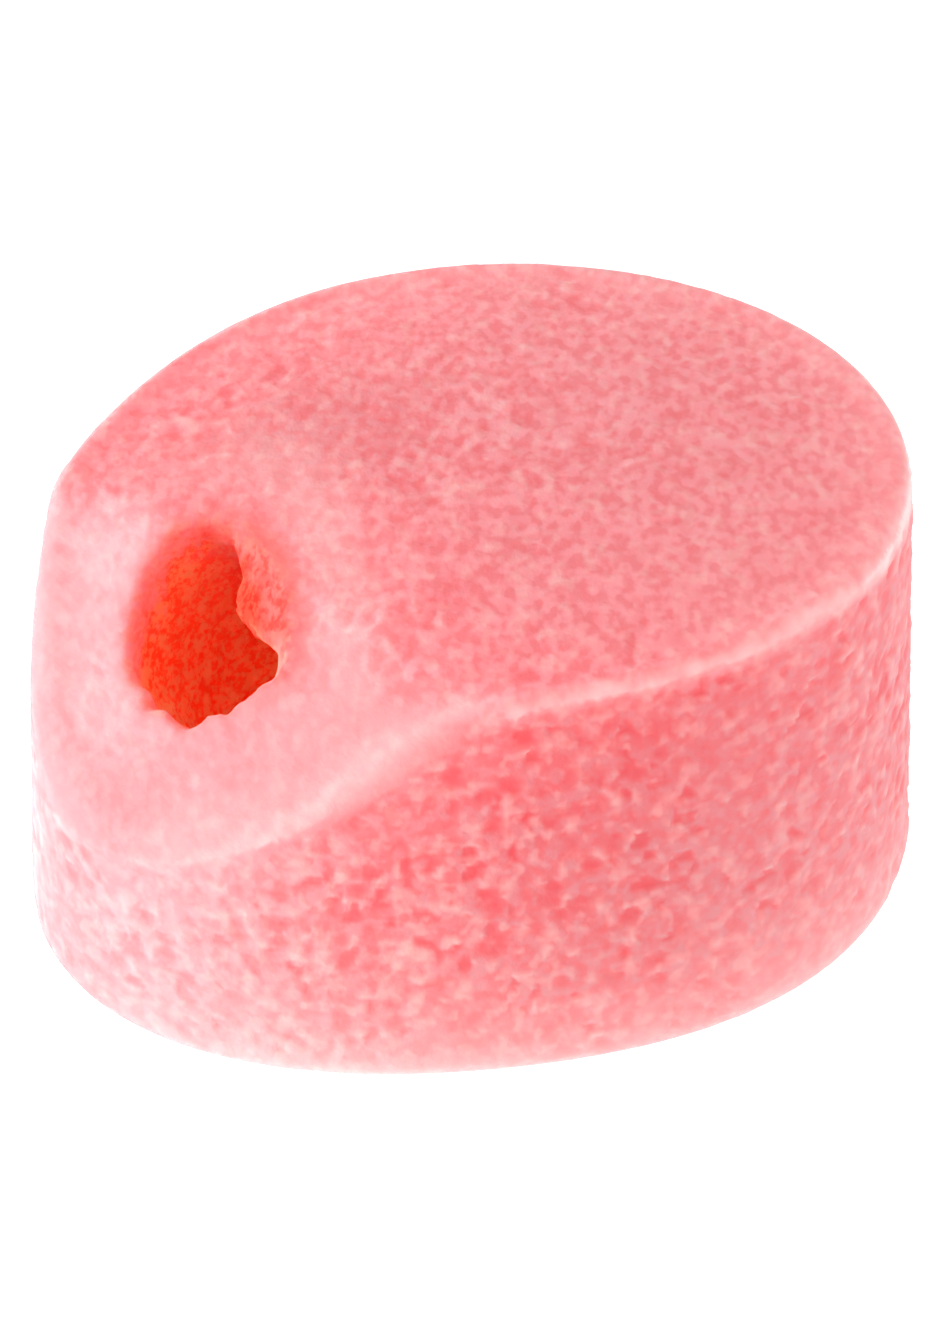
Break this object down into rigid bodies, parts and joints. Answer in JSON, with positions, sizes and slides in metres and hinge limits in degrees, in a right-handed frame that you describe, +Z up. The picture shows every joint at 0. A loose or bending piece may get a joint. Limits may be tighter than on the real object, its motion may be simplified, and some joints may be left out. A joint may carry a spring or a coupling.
{
  "type": "foam sponge",
  "caption": "Low oval drum of soft pink open-cell foam with a slanting scoop at one end and a finger hole sunk into it.",
  "frame": {"origin": "on the flat base, under the middle of the outline's length and width", "axes": "+Z up from the flat base, +Y along the length away from the scoop and the finger hole, +X across"},
  "size_m": [0.0456, 0.051, 0.0254],
  "materials": {
    "foam": "matte"
  },
  "bodies": {
    "root": {"sponge": "foam"}
  },
  "joints": []
}
